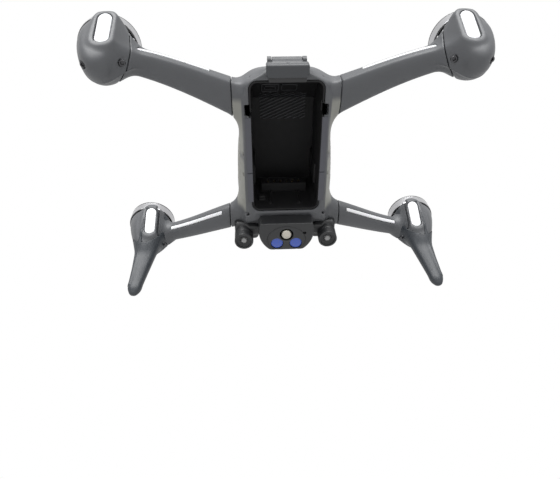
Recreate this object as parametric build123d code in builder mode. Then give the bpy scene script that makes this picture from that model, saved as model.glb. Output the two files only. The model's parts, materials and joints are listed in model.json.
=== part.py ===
"""Four-rotor camera drone with its flight pack taken out, in millimetres.

The drone stands on its two landing legs and the round undersides of its rear motor pods.
+X is its right side, +Y is the nose, +Z is up, and Z = 0 is the surface that it stands on.
The battery bay is open downwards. All four rotor axes are vertical.
"""

import os
from math import cos, radians, sin

from build123d import *

# --- Driving dimensions -----------------------------------------------------------------
WALL = 1.8  # moulded shell thickness
GAP = 0.3  # gap between pieces that move against each other
RUNNING = 0.08  # radial clearance of a shaft in its bearing

# Motors
MOTOR_X_REAR = 98.0
MOTOR_X_FRONT = 101.5
MOTOR_Y = 70.0
RIM_Z_REAR = 31.0  # height of the rotor's lower rim
RIM_Z_FRONT = 64.5
BELL_RADIUS = 17.3
BELL_HEIGHT = 12.0
BELL_WALL = 1.3
BELL_WINDOWS = 6
STATOR_RADIUS = 14.6
STATOR_POLES = 12
SHAFT_RADIUS = 2.0
HUB_RADIUS = 8.0
HUB_BASE = 2.0
HUB_BOSS_RADIUS = 4.0
HUB_BOSS = 4.0

# Motor pods, as (radius, height from the rotor's rim)
POD_PROFILE = ((4.0, -30.6), (9.5, -26.0), (14.0, -18.0), (16.3, -8.0))
POD_BOTTOM = -31.0
POD_TOP = -1.0
POD_RADIUS = 16.3
LAMP_WIDTH = 8.0
LAMP_LENGTH = 22.0
LAMP_TILT = 26.0  # degrees that the lamp leans from upright
LAMP_OFFSET = (-3.2, -14.0, -13.0)  # lamp centre from the pod axis at the rim
LAMP_FRAME = 3.0  # width of the raised frame around the lamp

# Battery bay
BAY_HALF_WIDTH = 21.5
BAY_REAR = -49.3
BAY_FRONT = 37.4
BAY_DEPTH = 44.0
BAY_REAR_DEPTH = 16.0  # depth at the rear end, where the roof comes down to the tail
BAY_SLOPE = 24.0  # length of the sloping part of the roof
BAY_CORNER = 4.0
TUB_WALL = 1.4

# Fuselage
HULL_BOTTOM = 34.0
SPLIT = 66.0  # parting plane between lower hull and canopy
HULL_SECTIONS = (  # y, bottom half width, bottom z, largest half width and its z, top z
    (-57.0, 11.0, 37.0, 13.5, 41.0, 46.0),
    (-51.0, 22.0, HULL_BOTTOM, 24.0, 44.0, 64.0),
    (-44.0, 25.5, HULL_BOTTOM, 28.0, 48.0, 78.0),
    (-25.0, 26.0, HULL_BOTTOM, 30.0, 50.0, 94.0),
    (0.0, 26.5, HULL_BOTTOM, 32.0, 52.0, 101.0),
    (30.0, 26.5, HULL_BOTTOM, 32.5, 52.0, 102.0),
    (52.0, 25.5, HULL_BOTTOM, 31.0, 52.0, 98.0),
    (63.0, 20.0, 41.0, 26.0, 58.0, 93.0),
    (72.0, 14.0, 52.0, 20.0, 66.0, 86.0),
)

# Arms: centre of each end, then chord and height there
ARM_ENDS = {
    "rear": ((16.0, -29.0, 50.5), (28.0, 18.5), (MOTOR_X_REAR, -72.5, 17.0), (12.6, 11.0)),
    "front": ((18.0, 46.0, 49.5), (19.0, 14.4), (MOTOR_X_FRONT, 72.5, 55.0), (12.6, 11.4)),
}
ARM_SEAM = {"rear": 33.0, "front": 39.0}  # x of the joint between hull and arm
STRIP_SHARE = (0.34, 0.79)  # where the light strip starts and ends along the arm
STRIP_ANGLE = {"rear": -20.0, "front": -35.0}
STRIP_WIDTH = 2.4
MOTORS = {
    "rear": (MOTOR_X_REAR, -MOTOR_Y, RIM_Z_REAR),
    "front": (MOTOR_X_FRONT, MOTOR_Y, RIM_Z_FRONT),
}

# Landing legs: centre, width and thickness at the root, middle and tip
LEG_STATIONS = (
    ((98.5, 66.0, 45.4), 16.0, 12.0),
    ((102.4, 71.9, 26.2), 12.5, 9.0),
    ((107.8, 80.3, 4.0), 7.4, 7.0),
)
LEG_TIP_RADIUS = 3.7

# Nose camera and belly sensors
TILT_AXIS = (77.0, 68.0)  # y, z
CAMERA_RADIUS = 9.5
CAMERA_HALF_WIDTH = 11.0
CAMERA_FRONT = 90.5
YOKE_INSIDE = 12.5
YOKE_THICKNESS = 2.6
BELLY_SENSOR = (49.0, 19.0)  # y of its centre, radius
BELLY_SENSOR_REACH = (42.0, 64.0)
BELLY_SENSOR_BOTTOM = 22.0
BELLY_LENS_X = 6.5
VISION = (29.5, 59.0)
VISION_RADIUS = 6.6
VISION_BOTTOM = 26.0
VISION_TOP = 37.0

# Power plug at the tail
PLUG_WIDTH = 28.0
PLUG_PIVOT = (-60.5, 37.5)  # y, z
PLUG_PIN_RADIUS = 1.2

# Cooling fan on the speed controller
FAN_CENTRE = (0.0, 6.0)
FAN_BOTTOM = 87.2
FAN_SIZE = 30.0
FAN_DEPTH = 6.8
FAN_BLADES = 9

os.makedirs("parts", exist_ok=True)
pieces = []


def keep(part, name):
    """Labels a finished part for export."""
    part.label = name
    pieces.append(part)


def keep_pair(part, name):
    """Labels a finished right-hand part and adds its mirror image for the left."""
    twin = mirror(part, about=Plane.YZ)
    keep(part, name + "_right")
    keep(twin, name + "_left")


def across(y):
    """A sketch plane across the fuselage at y, with X to the right and Z up."""
    return Plane.XZ.offset(-y)


def box_between(low, high):
    """A box between two corners."""
    centre = tuple((a + b) / 2 for a, b in zip(low, high))
    with BuildPart() as block:
        with Locations(centre):
            Box(*[b - a for a, b in zip(low, high)])
    return block.part


def post(x, y, bottom, top, radius):
    """An upright round post."""
    with BuildPart() as block:
        with BuildSketch(Plane.XY.offset(bottom)):
            with Locations((x, y)):
                Circle(radius)
        extrude(amount=top - bottom)
    return block.part


def cross_bar(y, z, half_length, radius):
    """A round bar along X, centred on the plane of symmetry."""
    with BuildPart() as block:
        with BuildSketch(Plane.YZ.offset(-half_length)):
            with Locations((y, z)):
                Circle(radius)
        extrude(amount=2 * half_length)
    return block.part


# --- Fuselage ---------------------------------------------------------------------------
def hull_volume(inset):
    """The fuselage's outer shape, or the same shape drawn in by inset."""
    with BuildPart() as volume:
        for section in HULL_SECTIONS:
            y, bottom_half, low, half, level, high = section
            if section is HULL_SECTIONS[0]:
                y += inset
            if section is HULL_SECTIONS[-1]:
                y -= inset
            bottom_half -= inset
            half -= inset
            low += inset
            high -= inset
            flank = (half * 0.95, level + (high - level) * 0.42)
            shoulder = (half * 0.7, level + (high - level) * 0.84)
            with BuildSketch(across(y)):
                with BuildLine():
                    Line((-bottom_half, low), (bottom_half, low))
                    Spline(
                        (bottom_half, low),
                        (half, level),
                        flank,
                        shoulder,
                        (0, high),
                        (-shoulder[0], shoulder[1]),
                        (-flank[0], flank[1]),
                        (-half, level),
                        (-bottom_half, low),
                    )
                make_face()
        loft()
    return volume.part


hull_outside = hull_volume(0)
hull_inside = hull_volume(WALL)


# --- Arms and motor pods ----------------------------------------------------------------
def arm_axes(which):
    """Root and tip of an arm's axis, its rearward direction and its upward direction."""
    root, _, tip, _ = ARM_ENDS[which]
    start, end = Vector(*root), Vector(*tip)
    direction = (end - start).normalized()
    rearward = direction.cross(Vector(0, 0, 1)).normalized()
    return start, end, rearward, rearward.cross(direction).normalized()


def arm_volume(which, inset=0.0):
    """A tapering arm with an oval section, from inside the hull to the motor axis."""
    start, end, rearward, _ = arm_axes(which)
    direction = end - start
    sizes = ARM_ENDS[which][1], ARM_ENDS[which][3]
    with BuildPart() as volume:
        for point, (chord, height) in zip((start, end), sizes):
            with BuildSketch(Plane(origin=point, x_dir=rearward, z_dir=direction)):
                Ellipse(chord / 2 - inset, height / 2 - inset)
        loft()
    return volume.part


def pod_body(rim, inset=0.0):
    """The round body of a motor pod on the Z axis, or the same shape drawn in by inset."""
    side = [(radius - inset, rim + height) for radius, height in reversed(POD_PROFILE)]
    bottom = (0, rim + POD_BOTTOM + inset)
    with BuildPart() as volume:
        with BuildSketch(Plane.XZ):
            with BuildLine():
                Polyline(bottom, (0, rim + POD_TOP), (POD_RADIUS - inset, rim + POD_TOP), side[0])
                Spline(*side, bottom, tangents=((0, -1), (-1, 0)))
            make_face()
        revolve(axis=Axis.Z)
    return volume.part


def lamp_plane(rim, depth=0.0):
    """The plane of a lamp's face on a pod that stands on the Z axis, facing outward."""
    x, y, z = LAMP_OFFSET
    normal = Vector(0, -cos(radians(LAMP_TILT)), -sin(radians(LAMP_TILT)))
    centre = Vector(x, y, rim + z) - normal * depth
    return Plane(origin=centre, x_dir=(1, 0, 0), z_dir=normal)


def lamp_bar(rim, grow, start, length):
    """A round-ended bar along the lamp's normal, from start below its face."""
    with BuildPart() as volume:
        with BuildSketch(lamp_plane(rim, start)):
            SlotOverall(LAMP_LENGTH + 2 * grow, LAMP_WIDTH + 2 * grow, rotation=90)
        extrude(amount=length)
    return volume.part


def pod_outside(rim):
    """A motor pod's outer shape on the Z axis: round body, lamp hood and flat lamp face."""
    with BuildPart() as volume:
        add(pod_body(rim))
        add(lamp_bar(rim, LAMP_FRAME, 14.0, 14.0))
        with BuildSketch(lamp_plane(rim)):
            Rectangle(80, 80)
        extrude(amount=40, mode=Mode.SUBTRACT)
        add(post(0, 0, rim + POD_TOP, rim + 40, BELL_RADIUS + 1), mode=Mode.SUBTRACT)
    return volume.part


def pod_inside(rim):
    """The hollow of a motor pod on the Z axis."""
    with BuildPart() as volume:
        add(pod_body(rim, WALL))
        with BuildSketch(lamp_plane(rim, 3.4)):
            Rectangle(80, 80)
        extrude(amount=40, mode=Mode.SUBTRACT)
        add(post(0, 0, rim + POD_TOP - WALL, rim + 5, POD_RADIUS), mode=Mode.SUBTRACT)
    return volume.part


SCREW_HEAD = (1.8, 1.3)  # radius, height
SCREW_SHANK = (0.95, 4.5)
SCREW_PLACES = ((-9.5, 1.0), (8.0, 2.5))  # on each pod, from the motor axis
SCREW_SEAT = -22.5  # height of the screw seats from the rim


def screw(x, y, seat):
    """A socket-head screw with its head below the seat."""
    head_radius, head_height = SCREW_HEAD
    with BuildPart() as fastener:
        add(post(x, y, seat - head_height, seat, head_radius))
        add(post(x, y, seat, seat + SCREW_SHANK[1], SCREW_SHANK[0]))
        with BuildSketch(Plane.XY.offset(seat - head_height)):
            with Locations((x, y)):
                RegularPolygon(0.95, 6)
        extrude(amount=0.8, mode=Mode.SUBTRACT)
    return fastener.part


pod_screws = []
arm_outsides = {}

for which, (motor_x, motor_y, rim) in MOTORS.items():
    place = Location((motor_x, motor_y, 0))
    outside = pod_outside(rim).moved(place)
    arm_outside = arm_volume(which)
    arm_outsides[which] = arm_outside
    seam_x = ARM_SEAM[which]
    inboard = box_between((-200, -200, -200), (seam_x, 200, 200))

    # Pod shell, with screw bosses and the lamp's recess
    with BuildPart() as pod:
        add(outside)
        add(pod_inside(rim).moved(place), mode=Mode.SUBTRACT)
        for x, y in SCREW_PLACES:
            with BuildPart(mode=Mode.PRIVATE) as boss:
                add(post(motor_x + x, motor_y + y, rim + POD_BOTTOM, rim - 15, 3.2))
                add(outside, mode=Mode.INTERSECT)
            add(boss.part)
        for x, y in SCREW_PLACES:
            x += motor_x
            y += motor_y
            add(post(x, y, rim - 40, rim + SCREW_SEAT, SCREW_HEAD[0] + 0.25), mode=Mode.SUBTRACT)
            add(post(x, y, rim - 40, rim - 17.5, SCREW_SHANK[0] + 0.05), mode=Mode.SUBTRACT)
        add(lamp_bar(rim, 0.15, 1.6, 5).moved(place), mode=Mode.SUBTRACT)
        add(post(motor_x, motor_y, rim - 5, rim + 5, 4.5), mode=Mode.SUBTRACT)
    keep_pair(pod.part, "pod_" + which)

    for x, y in SCREW_PLACES:
        fastener = screw(motor_x + x, motor_y + y, rim + SCREW_SEAT)
        pod_screws.extend([fastener, mirror(fastener, about=Plane.YZ)])

    # Pod lamp: a round-ended lens with a softened face
    with BuildPart() as lamp:
        add(lamp_bar(rim, 0, 1.6, 2.4).moved(place))
        fillet(lamp.edges().group_by(Axis((0, 0, 0), lamp_plane(rim).z_dir))[-1], 0.7)
    keep_pair(lamp.part, "pod_lamp_" + which)

    # Light strip along the arm's rear edge
    start, end, rearward, upward = arm_axes(which)
    ends = []
    for share in STRIP_SHARE:
        chord, height = [
            (a + (b - a) * share) / 2 for a, b in zip(ARM_ENDS[which][1], ARM_ENDS[which][3])
        ]
        angle = radians(STRIP_ANGLE[which])
        ends.append(
            start
            + (end - start) * share
            + rearward * (chord - 0.6) * cos(angle)
            + upward * (height - 0.6) * sin(angle)
        )
    with BuildPart() as strip:
        outward = rearward * cos(angle) + upward * sin(angle)
        with BuildSketch(Plane(origin=ends[0], x_dir=outward, z_dir=ends[1] - ends[0])):
            RectangleRounded(2.2, STRIP_WIDTH, 0.7)
        extrude(amount=(ends[1] - ends[0]).length)

    # Arm shell between the hull's seam and the pod
    with BuildPart() as arm:
        add(arm_outside)
        add(arm_volume(which, WALL), mode=Mode.SUBTRACT)
        add(inboard, mode=Mode.SUBTRACT)
        add(outside, mode=Mode.SUBTRACT)
        add(pod_inside(rim).moved(place), mode=Mode.SUBTRACT)
        add(strip.part, mode=Mode.SUBTRACT)
    keep_pair(arm.part.solids().sort_by(SortBy.VOLUME)[-1], "arm_" + which)
    keep_pair(strip.part, "arm_strip_" + which)

    # Stator: base plate, bearing tube and toothed core
    with BuildPart() as stator:
        base = rim + POD_TOP
        add(post(0, 0, base, base + 1.6, STATOR_RADIUS + 1))
        add(post(0, 0, base, base + 9.5, 4.6))
        with BuildSketch(Plane.XY.offset(base + 3)):
            Circle(7)
            with PolarLocations(9, STATOR_POLES):
                Rectangle(8.6, 1.8)
            with PolarLocations(STATOR_RADIUS - 0.9, STATOR_POLES):
                Rectangle(1.8, 5.6)
        extrude(amount=6)
        add(post(0, 0, base - 1, base + 12, SHAFT_RADIUS + RUNNING), mode=Mode.SUBTRACT)
    keep_pair(stator.part.moved(place), "stator_" + which)

    # Rotor bell with its shaft
    with BuildPart() as bell:
        top = rim + BELL_HEIGHT
        add(post(0, 0, rim, top, BELL_RADIUS))
        fillet(bell.edges().group_by(Axis.Z)[-1], 2.2)
        add(post(0, 0, rim, top - 1.6, BELL_RADIUS - BELL_WALL), mode=Mode.SUBTRACT)
        with BuildSketch(Plane.XY.offset(top - 3)):
            with PolarLocations(11.3, BELL_WINDOWS):
                SlotOverall(7.5, 3.4, rotation=90)
        extrude(amount=5, mode=Mode.SUBTRACT)
        add(post(0, 0, base + 0.5, top - 1, SHAFT_RADIUS))
    keep_pair(bell.part.moved(place), "motor_bell_" + which)

    # Propeller hub on top of the bell
    with BuildPart() as hub:
        add(post(0, 0, top, top + HUB_BASE, HUB_RADIUS))
        add(post(0, 0, top + HUB_BASE, top + HUB_BASE + HUB_BOSS, HUB_BOSS_RADIUS))
        with BuildSketch(Plane.XY.offset(top + HUB_BASE - 1)):
            with PolarLocations(6.1, 3):
                Circle(0.9)
        extrude(amount=1, mode=Mode.SUBTRACT)
    keep_pair(hub.part.moved(place), "prop_hub_" + which)

pod_screws_group = Compound(children=pod_screws)
keep(pod_screws_group, "pod_screws")

# --- Landing legs -----------------------------------------------------------------------
front_pod = pod_outside(RIM_Z_FRONT).moved(Location((MOTOR_X_FRONT, MOTOR_Y, 0)))
leg_axis = Vector(*LEG_STATIONS[-1][0]) - Vector(*LEG_STATIONS[0][0])

with BuildPart() as leg:
    for point, width, thickness in LEG_STATIONS:
        with BuildSketch(Plane(origin=point, x_dir=(1, 0, 0), z_dir=leg_axis)):
            Ellipse(width / 2, thickness / 2)
    loft()
    with Locations((*LEG_STATIONS[-1][0][:2], LEG_TIP_RADIUS)):
        Sphere(LEG_TIP_RADIUS)
    add(front_pod, mode=Mode.SUBTRACT)
    add(pod_inside(RIM_Z_FRONT).moved(Location((MOTOR_X_FRONT, MOTOR_Y, 0))), mode=Mode.SUBTRACT)
leg_part = leg.part.solids().sort_by(SortBy.VOLUME)[-1]
keep_pair(leg_part, "landing_leg")

# --- Battery bay ------------------------------------------------------------------------
BAY_LENGTH = BAY_FRONT - BAY_REAR
BAY_MIDDLE = (BAY_FRONT + BAY_REAR) / 2
BAY_ROOF = HULL_BOTTOM + BAY_DEPTH


def bay_volume(grow, bottom):
    """The bay's space, grown sideways and upwards, from a height up to its sloping roof."""
    roof = BAY_ROOF + grow
    rear = BAY_REAR - grow
    front = BAY_FRONT + grow
    slope_start = HULL_BOTTOM + BAY_REAR_DEPTH + grow
    with BuildPart() as volume:
        with BuildSketch(Plane.XY.offset(bottom)):
            with Locations((0, BAY_MIDDLE)):
                RectangleRounded(
                    2 * (BAY_HALF_WIDTH + grow), BAY_LENGTH + 2 * grow, BAY_CORNER + grow
                )
        extrude(amount=roof - bottom)
        with BuildSketch(Plane.YZ.offset(-60)):
            with BuildLine():
                Polyline(
                    (rear - 5, slope_start),
                    (rear, slope_start),
                    (rear + BAY_SLOPE, roof),
                    (front + 5, roof),
                    (front + 5, roof + 50),
                    (rear - 5, roof + 50),
                    close=True,
                )
            make_face()
        extrude(amount=120, mode=Mode.SUBTRACT)
    return volume.part


bay_outside = bay_volume(TUB_WALL, HULL_BOTTOM)
NOTCH = ((BAY_HALF_WIDTH - 0.5, -36.5, HULL_BOTTOM - 1), (BAY_HALF_WIDTH + 4.0, -29.4, 41.0))


def notch(grow, side):
    """The recess beside the bay that takes a catch of the flight pack."""
    (x0, y0, z0), (x1, y1, z1) = NOTCH
    low, high = sorted((side * x0, side * (x1 + grow)))
    return box_between((low, y0 - grow, z0), (high, y1 + grow, z1 + grow))


with BuildPart() as bay_tub:
    add(bay_outside)
    add(bay_volume(0, HULL_BOTTOM - 1), mode=Mode.SUBTRACT)
    for side in (-1, 1):
        add(notch(0, side), mode=Mode.SUBTRACT)
    # Ribs on the roof, ahead of the slope
    for index in range(6):
        y = BAY_REAR + BAY_SLOPE + 3 + 4 * index
        add(box_between((-14, y, BAY_ROOF - 0.8), (14, y + 1.2, BAY_ROOF)))
keep(bay_tub.part, "battery_bay_tub")

# Contact block on the roof of the bay, and its spring contacts
with BuildPart() as contact_block:
    add(box_between((-16, BAY_FRONT - 6.5, 58), (16, BAY_FRONT, 66)))
    for index in range(6):
        x = 4.4 * (index - 2.5)
        add(
            box_between((x - 1, BAY_FRONT - 7, 60), (x + 1, BAY_FRONT - 2, 64)),
            mode=Mode.SUBTRACT,
        )
keep(contact_block.part, "bay_contact_block")

contact_blades = []
for index in range(6):
    x = 4.4 * (index - 2.5)
    contact_blades.append(
        box_between((x - 0.5, BAY_FRONT - 5.5, 60.6), (x + 0.5, BAY_FRONT - 2, 63.4))
    )
keep(Compound(children=contact_blades), "bay_contact_blades")

# Guide rails along the bay's two long edges
rails = []
for side in (-1, 1):
    low, high = sorted((side * (BAY_HALF_WIDTH + 0.4), side * (BAY_HALF_WIDTH + 4.0)))
    for start_y, end_y in ((-28.5, 9), (9.5, 31)):
        with BuildPart() as rail:
            add(box_between((low, start_y, HULL_BOTTOM - 0.8), (high, end_y, HULL_BOTTOM)))
            add(hull_outside, mode=Mode.SUBTRACT)
        rails.append(rail.part)
keep(Compound(children=rails), "bay_rails")

# --- Hull halves ------------------------------------------------------------------------
NOSE_OPENING = ((-17.5, 61.0, 55.0), (17.5, 100.0, 82.0))
nose_opening = box_between(*NOSE_OPENING)
below = box_between((-200, -200, -200), (200, 200, SPLIT))
above = box_between((-200, -200, SPLIT), (200, 200, 300))
bulkhead_slab = box_between((-60, 58.5, 0), (60, 60.5, SPLIT - 2))

with BuildPart() as lower_hull:
    add(hull_outside)
    for which in MOTORS:
        outboard = box_between((ARM_SEAM[which], -200, -200), (200, 200, 200))
        with BuildPart(mode=Mode.PRIVATE) as stub:
            add(arm_outsides[which])
            add(outboard, mode=Mode.SUBTRACT)
        add(stub.part)
        add(mirror(stub.part, about=Plane.YZ))
    for which in MOTORS:
        hollow = arm_volume(which, WALL)
        add(hollow, mode=Mode.SUBTRACT)
        add(mirror(hollow, about=Plane.YZ), mode=Mode.SUBTRACT)
    add(hull_inside, mode=Mode.SUBTRACT)
    add(above, mode=Mode.SUBTRACT)
    with BuildPart(mode=Mode.PRIVATE) as bulkhead:
        add(bulkhead_slab)
        add(hull_outside, mode=Mode.INTERSECT)
    add(bulkhead.part)
    add(bay_volume(TUB_WALL + 0.02, HULL_BOTTOM - 5), mode=Mode.SUBTRACT)
    for side in (-1, 1):
        add(notch(0, side), mode=Mode.SUBTRACT)
    add(nose_opening, mode=Mode.SUBTRACT)
lower_hull_part = lower_hull.part

with BuildPart() as top_canopy:
    add(hull_outside)
    add(hull_inside, mode=Mode.SUBTRACT)
    add(box_between((-200, -200, -200), (200, 200, SPLIT + GAP)), mode=Mode.SUBTRACT)
    add(nose_opening, mode=Mode.SUBTRACT)
    # Air slots over the fan
    for index in range(5):
        y = FAN_CENTRE[1] - 10 + 5 * index
        add(box_between((-9, y - 1, 90), (9, y + 1, 120)), mode=Mode.SUBTRACT)
keep(top_canopy.part, "top_canopy")

# Vent panels let into the flanks of the lower hull
with BuildPart() as side_panel:
    add(box_between((20, -8, 44), (60, 20, 57)))
    add(hull_outside, mode=Mode.INTERSECT)
    add(hull_inside, mode=Mode.SUBTRACT)
    for index in range(5):
        y = -3 + 4 * index
        add(box_between((20, y, 46.5), (60, y + 1.6, 54.5)), mode=Mode.SUBTRACT)
side_panel_part = side_panel.part

with BuildPart() as lower_hull_cut:
    add(lower_hull_part)
    for side in (-1, 1):
        low, high = sorted((side * 20, side * 60))
        add(box_between((low, -8, 44), (high, 20, 57)), mode=Mode.SUBTRACT)
keep(lower_hull_cut.part, "lower_hull")
keep_pair(side_panel_part, "side_vent")

with BuildPart() as hull_and_arms:
    add(hull_outside)
    for outside in arm_outsides.values():
        add(outside)
        add(mirror(outside, about=Plane.YZ))
hull_with_stubs = hull_and_arms.part

# --- Nose camera ------------------------------------------------------------------------
AXIS_Y, AXIS_Z = TILT_AXIS

with BuildPart() as yoke:
    add(box_between((-15.1, 60.5, AXIS_Z - 7), (15.1, 62.5, AXIS_Z + 7)))
    for side in (-1, 1):
        low, high = sorted((side * YOKE_INSIDE, side * (YOKE_INSIDE + YOKE_THICKNESS)))
        add(box_between((low, 61, AXIS_Z - 5), (high, AXIS_Y, AXIS_Z + 5)))
        with BuildSketch(Plane.YZ.offset(low)):
            with Locations((AXIS_Y, AXIS_Z)):
                Circle(5)
        extrude(amount=YOKE_THICKNESS)
    add(cross_bar(AXIS_Y, AXIS_Z, 30, SHAFT_RADIUS + RUNNING), mode=Mode.SUBTRACT)
keep(yoke.part, "gimbal_yoke")

with BuildPart() as camera_body:
    add(cross_bar(AXIS_Y, AXIS_Z, CAMERA_HALF_WIDTH, CAMERA_RADIUS))
    fillet(camera_body.edges().filter_by(GeomType.CIRCLE), 1.5)
    with BuildSketch(Plane.XZ.offset(-AXIS_Y)):
        with Locations((0, AXIS_Z)):
            RectangleRounded(17, 15, 4)
    extrude(amount=-(CAMERA_FRONT - 1.5 - AXIS_Y))
    with BuildSketch(Plane.XZ.offset(-(CAMERA_FRONT - 4.0))):
        with Locations((0, AXIS_Z)):
            Circle(5.6)
    extrude(amount=-10, mode=Mode.SUBTRACT)
    add(cross_bar(AXIS_Y, AXIS_Z, YOKE_INSIDE + YOKE_THICKNESS, SHAFT_RADIUS))
keep(camera_body.part, "camera_body")

with BuildPart() as camera_lens:
    with BuildSketch(Plane.XZ.offset(-(CAMERA_FRONT - 4.0))):
        with Locations((0, AXIS_Z)):
            Circle(5.5)
    extrude(amount=-3.0)
    with BuildSketch(Plane.XZ.offset(-(CAMERA_FRONT - 1.0))):
        with Locations((0, AXIS_Z)):
            Circle(5.0)
    extrude(amount=-1.0)
keep(camera_lens.part, "camera_lens")

# --- Belly and forward sensors ----------------------------------------------------------
sensor_y, sensor_radius = BELLY_SENSOR

with BuildPart() as belly_housing:
    add(post(0, sensor_y, BELLY_SENSOR_BOTTOM, 52, sensor_radius))
    add(
        box_between((-30, BELLY_SENSOR_REACH[0], 0), (30, BELLY_SENSOR_REACH[1], 60)),
        mode=Mode.INTERSECT,
    )
    add(hull_outside, mode=Mode.SUBTRACT)
    add(post(0, 51, 0, BELLY_SENSOR_BOTTOM + 3, 4.7), mode=Mode.SUBTRACT)
    for side in (-1, 1):
        add(post(side * BELLY_LENS_X, 58.5, 0, BELLY_SENSOR_BOTTOM + 3, 4.3), mode=Mode.SUBTRACT)
    add(post(12.5, 50, 0, BELLY_SENSOR_BOTTOM + 2, 1.1), mode=Mode.SUBTRACT)
belly_part = belly_housing.part.solids().sort_by(SortBy.VOLUME)[-1]
keep(belly_part, "belly_sensor_housing")

with BuildPart() as belly_lamp:
    add(post(0, 51, BELLY_SENSOR_BOTTOM + 0.4, BELLY_SENSOR_BOTTOM + 3, 4.65))
    with Locations((0, 51, BELLY_SENSOR_BOTTOM + 2.6)):
        Sphere(4.4)
    add(box_between((-9, 40, 24.9), (9, 60, 40)), mode=Mode.SUBTRACT)
keep(belly_lamp.part, "belly_lamp")

belly_lenses = [
    post(side * BELLY_LENS_X, 58.5, BELLY_SENSOR_BOTTOM + 0.3, BELLY_SENSOR_BOTTOM + 3, 4.25)
    for side in (-1, 1)
]
keep(Compound(children=belly_lenses), "belly_lenses")

brackets = []
barrels = []
vision_lenses = []
for side in (-1, 1):
    x, y = side * VISION[0], VISION[1]
    low, high = sorted((side * 20.0, side * (VISION[0] + VISION_RADIUS)))
    with BuildPart() as bracket:
        add(box_between((low, y - 7, VISION_TOP), (high, y + 6, 44)))
        fillet(bracket.edges().filter_by(Axis.Z), 3)
        add(hull_with_stubs, mode=Mode.SUBTRACT)
        add(post(0, sensor_y, 0, 60, sensor_radius + 0.2), mode=Mode.SUBTRACT)
    brackets.append(bracket.part.solids().sort_by(SortBy.VOLUME)[-1])
    with BuildPart() as barrel:
        add(post(x, y, VISION_BOTTOM, VISION_TOP, VISION_RADIUS))
        add(hull_with_stubs, mode=Mode.SUBTRACT)
        add(
            post(x, y, VISION_BOTTOM - 1, VISION_BOTTOM + 2.5, VISION_RADIUS - 1.5),
            mode=Mode.SUBTRACT,
        )
    barrels.append(barrel.part)
    vision_lenses.append(post(x, y, VISION_BOTTOM + 0.8, VISION_BOTTOM + 2.5, VISION_RADIUS - 1.55))
keep(Compound(children=brackets), "vision_brackets")
keep(Compound(children=barrels), "vision_barrels")
keep(Compound(children=vision_lenses), "vision_lenses")

# --- Power plug at the tail -------------------------------------------------------------
PIVOT_Y, PIVOT_Z = PLUG_PIVOT
LUG_X = 9.0
LUG_THICKNESS = 2.4

with BuildPart() as plug_bracket:
    for side in (-1, 1):
        low, high = sorted((side * LUG_X, side * (LUG_X + LUG_THICKNESS)))
        with BuildSketch(Plane.YZ.offset(low)):
            with Locations((PIVOT_Y, PIVOT_Z)):
                Circle(3.0)
            with Locations((PIVOT_Y + 4.5, PIVOT_Z + 1)):
                Rectangle(9, 4)
        extrude(amount=LUG_THICKNESS)
    add(hull_outside, mode=Mode.SUBTRACT)
    add(cross_bar(PIVOT_Y, PIVOT_Z, 30, PLUG_PIN_RADIUS), mode=Mode.SUBTRACT)
keep(plug_bracket.part, "plug_bracket")
keep(cross_bar(PIVOT_Y, PIVOT_Z, LUG_X + LUG_THICKNESS, PLUG_PIN_RADIUS), "plug_pin")

with BuildPart() as plug_body:
    add(box_between((-PLUG_WIDTH / 2, -63.0, 26.0), (PLUG_WIDTH / 2, -55.0, 33.6)))
    fillet(plug_body.edges(), 1.6)
    add(box_between((-LUG_X + GAP, -62.5, 32), (LUG_X - GAP, -58.5, PIVOT_Z)))
    add(cross_bar(PIVOT_Y, PIVOT_Z, LUG_X - GAP, 2.8))
    add(cross_bar(PIVOT_Y, PIVOT_Z, 30, PLUG_PIN_RADIUS + RUNNING), mode=Mode.SUBTRACT)
keep(plug_body.part, "plug_body")

with BuildPart() as plug_tongue:
    add(box_between((-11.5, -55.0, 27.4), (11.5, -50.5, 31.6)))
    fillet(plug_tongue.edges().filter_by(Axis.Y), 1.2)
    for side in (-1, 1):
        for step in (3, 8):
            add(
                box_between((side * step - 1.2, -53.5, 28.6), (side * step + 1.2, -49, 30.4)),
                mode=Mode.SUBTRACT,
            )
keep(plug_tongue.part, "plug_tongue")

# --- Boards and fan inside the canopy ---------------------------------------------------
ROOF_TOP = BAY_ROOF + TUB_WALL
BOARD_POSTS = ((-17, -14), (17, -14), (-17, 26), (17, 26))

with BuildPart() as flight_board:
    add(box_between((-20, -18, ROOF_TOP + 1.5), (20, 30, ROOF_TOP + 3.1)))
    for x, y in BOARD_POSTS:
        add(post(x, y, ROOF_TOP, ROOF_TOP + 1.5, 2.2))
    add(box_between((-8, -6, ROOF_TOP + 3.1), (8, 8, ROOF_TOP + 5)))
    add(box_between((-16, 16, ROOF_TOP + 3.1), (-4, 26, ROOF_TOP + 4.8)))
keep(flight_board.part, "flight_board")

with BuildPart() as esc_board:
    add(box_between((-18, -12, FAN_BOTTOM - 1.6), (18, 24, FAN_BOTTOM)))
    for x in (-15, 15):
        for y in (-9, 14):
            add(post(x, y, ROOF_TOP + 3.1, FAN_BOTTOM - 1.6, 1.8))
keep(esc_board.part, "speed_controller_board")

fan_x, fan_y = FAN_CENTRE
half = FAN_SIZE / 2
with BuildPart() as fan_frame:
    add(
        box_between(
            (fan_x - half, fan_y - half, FAN_BOTTOM),
            (fan_x + half, fan_y + half, FAN_BOTTOM + FAN_DEPTH),
        )
    )
    fillet(fan_frame.edges().filter_by(Axis.Z), 2)
    add(post(fan_x, fan_y, FAN_BOTTOM + 1.2, FAN_BOTTOM + 20, half - 1.2), mode=Mode.SUBTRACT)
    add(post(fan_x, fan_y, FAN_BOTTOM, FAN_BOTTOM + FAN_DEPTH - 1, 1.5))
keep(fan_frame.part, "fan_frame")

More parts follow.
